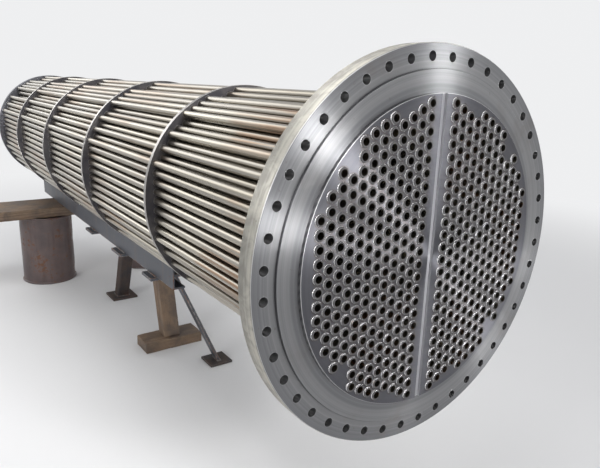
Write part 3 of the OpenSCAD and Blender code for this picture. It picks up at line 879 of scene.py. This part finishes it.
def worn_timber(name, low, high, push, edge, seed):
    """A sawn block with bruised edges, leaning by push for each metre of height."""
    # Grid lines across the block, closer together at its edges
    lines = []
    for i in range(3):
        size = high[i] - low[i]
        count = max(2, round((size - 2 * edge) / TIMBER_CELL))
        inner = [low[i] + edge + (size - 2 * edge) * k / count for k in range(count + 1)]
        near_low = [low[i], low[i] + 0.35 * edge, low[i] + 0.7 * edge]
        near_high = [high[i] - 0.7 * edge, high[i] - 0.35 * edge, high[i]]
        lines.append(near_low + inner + near_high)
    block = bmesh.new()
    corners = {}
    for axis in range(3):
        u, v = (axis + 1) % 3, (axis + 2) % 3
        for end in (0, len(lines[axis]) - 1):
            for a in range(len(lines[u]) - 1):
                for b in range(len(lines[v]) - 1):
                    square = []
                    for da, db in ((0, 0), (1, 0), (1, 1), (0, 1)):
                        key = [end] * 3
                        key[u], key[v] = a + da, b + db
                        key = tuple(key)
                        if key not in corners:
                            corners[key] = block.verts.new([lines[i][key[i]] for i in range(3)])
                        square.append(corners[key])
                    block.faces.new(square if end else square[::-1])
    # Each point is drawn in to a rounding that varies along the edges, with small dents
    shift = Vector((seed * 3.1, seed * 1.7, seed * 0.9))
    for vert in block.verts:
        spot = vert.co.copy()
        worn = edge * (0.55 + 0.45 * lumps.noise(spot * 30 + shift))
        inside = Vector([min(max(spot[i], low[i] + worn), high[i] - worn) for i in range(3)])
        out = (spot - inside).normalized()
        near_edge = sum(abs(spot[i] - inside[i]) > 1e-7 for i in range(3)) > 1
        dent = SCUFF_DEPTH * (0.5 + 0.5 * lumps.noise(spot * 22 - shift))
        if near_edge:
            dent += max(0.0, lumps.noise(spot * 55 + shift) - 0.28) * BRUISE_DEPTH
        vert.co = inside + out * (worn - min(dent, worn + 0.002))
        vert.co.x -= push[0] * (vert.co.z - low.z)
        vert.co.y -= push[1] * (vert.co.z - low.z)
    made = placed(name, mesh_of(name, block))
    smooth(made)
    return made


for number, (name, grain_axis, off_middle, rake, edge) in enumerate(TIMBERS):
    low, high, push = straightened(name, rake)
    pith = tuple((low + high) / 2 + Vector(off_middle))
    timber = worn_timber("worn_" + name, low, high, push, edge, number + 1)
    timber.data.materials.append(sawn_wood(name + "_wood", grain_axis, pith, push, low.z))
    belongs(timber, "timber", name)


# ---- Drums
# Two old thin-walled steel drums stand upside down and carry the rear plank. Brown-red paint,
# chalky and rusted through in patches, bare on the rolled rims. Both are knocked and dented.

DRUM_RIM_R = 0.146
DRUM_BODY_R = DRUM_RIM_R - 0.006
DRUM_INNER_R = DRUM_BODY_R - 0.003
DRUM_RIM_TALL = 0.0125
DRUM_POINTS = 96
KNOCK_DEPTH, WAVE_DEPTH = 0.016, 0.0006
drum_paint, tree, shader, place = new_finish("drum_paint")
cloud = noise(tree, place, 8.0, 6.0, 0.6)
chips = noise(tree, place, 55.0, 6.0, 0.7)
runs = noise(tree, place, 45.0, 4.0, 0.6, stretch=(1.0, 1.0, 0.1))
rust = between(tree, total(tree, product(tree, chips, 0.6), product(tree, cloud, 0.4)), 0.54, 0.60)
colour = coats(
    tree, (0.072, 0.053, 0.053),
    (between(tree, cloud, 0.3, 0.7), (0.125, 0.088, 0.082)),
    (product(tree, between(tree, runs, 0.5, 0.75), 0.6), (0.060, 0.036, 0.032)),
    (product(tree, rust, 0.8), mixed(tree, chips, (0.075, 0.032, 0.016), (0.18, 0.080, 0.036))))
chalk = bump(tree, noise(tree, place, 260.0, 3.0), 0.0003, 0.5)
set_looks(tree, shader, colour, between(tree, rust, 0.0, 1.0, 0.42, 0.82),
          bump(tree, opposite(tree, rust), 0.0006, 0.6, chalk), 0.0)


def drum_shell(name, middle_x, middle_y, tall, seed):
    """Closed thin shell of revolution with rolled rims, a recessed head above and the open mouth below."""
    rolled = [
        (DRUM_BODY_R, DRUM_RIM_TALL), (DRUM_RIM_R - 0.003, 0.0108), (DRUM_RIM_R - 0.0008, 0.0085),
        (DRUM_RIM_R, 0.0055), (DRUM_RIM_R - 0.0008, 0.0025), (DRUM_RIM_R - 0.003, 0.0006),
        (DRUM_BODY_R - 0.001, 0.0), (DRUM_INNER_R, 0.0012)]
    head = [(DRUM_INNER_R - 0.0008, tall - 0.005), (DRUM_INNER_R - 0.003, tall - 0.0065), (0.0, tall - 0.0065)]
    under = [(0.0, tall - 0.0092), (DRUM_INNER_R - 0.006, tall - 0.0092), (DRUM_INNER_R - 0.0006, tall - 0.013)]
    body = [(DRUM_BODY_R, DRUM_RIM_TALL + (tall - 2 * DRUM_RIM_TALL) * k / 24) for k in range(25)]
    inner = [(DRUM_INNER_R, tall - 0.016 - (tall - 0.030) * k / 12) for k in range(13)]
    outline = rolled[::-1] + body[1:-1] + [(r, tall - z) for r, z in rolled] + head + under + inner
    shell = bmesh.new()
    rings = []
    for r, z in outline:
        if r == 0.0:
            rings.append([shell.verts.new((middle_x, middle_y, z))] * DRUM_POINTS)
            continue
        ring = []
        for k in range(DRUM_POINTS):
            angle = 2 * math.pi * k / DRUM_POINTS
            spot = Vector((math.cos(angle) * 2.2, math.sin(angle) * 2.2, z * 9)) + Vector((seed, 0, 0))
            away_from_rims = math.sin(math.pi * min(max(z / tall, 0.0), 1.0)) ** 0.5
            knocks = max(0.0, lumps.noise(spot) - 0.12) * KNOCK_DEPTH
            waves = WAVE_DEPTH * (1 + lumps.noise(spot * 3))
            dented_r = r - (knocks + waves) * away_from_rims
            x, y = middle_x + dented_r * math.cos(angle), middle_y + dented_r * math.sin(angle)
            ring.append(shell.verts.new((x, y, z)))
        rings.append(ring)
    close_rings(shell, rings)
    mesh = mesh_of(name, shell)
    mesh.materials.append(drum_paint)
    made = placed(name, mesh)
    smooth(made, 50)
    return made


for name, seed in (("left_drum", 4.0), ("right_drum", 11.0)):
    low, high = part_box(name)
    middle = (low + high) / 2
    drum = drum_shell("dented_" + name, middle.x, middle.y, high.z, seed)
    belongs(drum, "drum_steel", name)


# ---- Floor, background and lamps
# A plain pale floor in a white studio. Two large soft lamps, one high behind the far end and one
# overhead, light the tubes from above. A smaller one stands at the left, and three narrow ones in
# front of the bolting face draw the bright fans on the turned steel.

FADE_NEAR, FADE_FAR = 2.0, 5.2
FLOOR_REACH = 40
PALE = (0.86, 0.865, 0.875)
FACE_MIDDLE = (FACE_X, 0.0, AXIS_Z)


def seen_itself(tree):
    """1 for a ray from the camera, a mirror or glass, and 0 for the light that falls on the object."""
    ray = put(tree, "ShaderNodeLightPath").outputs
    mirrored = calc(tree, "MAXIMUM", ray["Is Glossy Ray"], ray["Is Transmission Ray"])
    return calc(tree, "MAXIMUM", ray["Is Camera Ray"], mirrored)


floor_mesh = bpy.data.meshes.new("floor")
floor_corners = [(x * FLOOR_REACH, y * FLOOR_REACH, 0) for x, y in ((-1, -1), (1, -1), (1, 1), (-1, 1))]
floor_mesh.from_pydata(floor_corners, [], [(0, 1, 2, 3)])
floor_finish, tree, shader, place = new_finish("floor_finish")
colour = mixed(tree, noise(tree, place, 0.7, 3.0), (0.70, 0.70, 0.705), (0.735, 0.735, 0.74))
feed(tree, shader.inputs["Base Color"], colour)
shader.inputs["Roughness"].default_value = 0.8
# Far off the floor turns into the pale background, so that no horizon shows
distance = put(tree, "ShaderNodeVectorMath", {0: place}, operation="LENGTH").outputs["Value"]
glow = put(tree, "ShaderNodeEmission", {"Color": (*PALE, 1.0), "Strength": 1.0}).outputs[0]
far_off = product(tree, seen_itself(tree), between(tree, distance, FADE_NEAR, FADE_FAR))
faded = put(tree, "ShaderNodeMixShader", {0: far_off, 1: shader.outputs[0], 2: glow}).outputs[0]
feed(tree, tree.nodes["Material Output"].inputs["Surface"], faded)
floor_mesh.materials.append(floor_finish)
floor = placed("floor", floor_mesh)

world = bpy.data.worlds.new("studio")
bpy.context.scene.world = world
world.use_nodes = True
tree = world.node_tree
background = tree.nodes["Background"]
climb = apart(tree, put(tree, "ShaderNodeTexCoord").outputs["Generated"])[2]
sky = mixed(tree, between(tree, climb, 0.15, 0.75), PALE, (0.50, 0.505, 0.52))
feed(tree, background.inputs["Color"], sky)
feed(tree, background.inputs["Strength"], total(tree, 0.85, product(tree, seen_itself(tree), 0.15)))


def lamp(name, place, target, size, power, spread=180):
    """A square soft lamp that faces its target and sheds its light within spread degrees."""
    made = placed(name, bpy.data.lights.new(name, "AREA"))
    made.data.shape = "SQUARE"
    made.data.size = size
    made.data.energy = power
    made.data.spread = math.radians(spread)
    made.location = place
    made.rotation_euler = (Vector(target) - Vector(place)).to_track_quat("-Z", "Y").to_euler()


lamp("far_lamp", (-5.0, -1.8, 3.6), (0.6, 0.0, 0.9), 3.4, 80)
lamp("overhead_lamp", (0.6, -0.4, 4.2), (0.4, 0.1, 0.6), 3.2, 110)
lamp("left_lamp", (1.8, -3.6, 2.6), (0.9, 0.0, 0.8), 1.4, 46)
lamp("front_lamp", (FACE_X + 2.6, 0.1, AXIS_Z + 1.1), FACE_MIDDLE, 0.45, 3.2, 36)
lamp("low_front_lamp", (FACE_X + 2.6, -0.5, AXIS_Z - 0.1), FACE_MIDDLE, 0.35, 1.8, 36)
lamp("right_lamp", (FACE_X + 1.6, 2.3, AXIS_Z + 1.55), FACE_MIDDLE, 0.45, 1.4, 36)
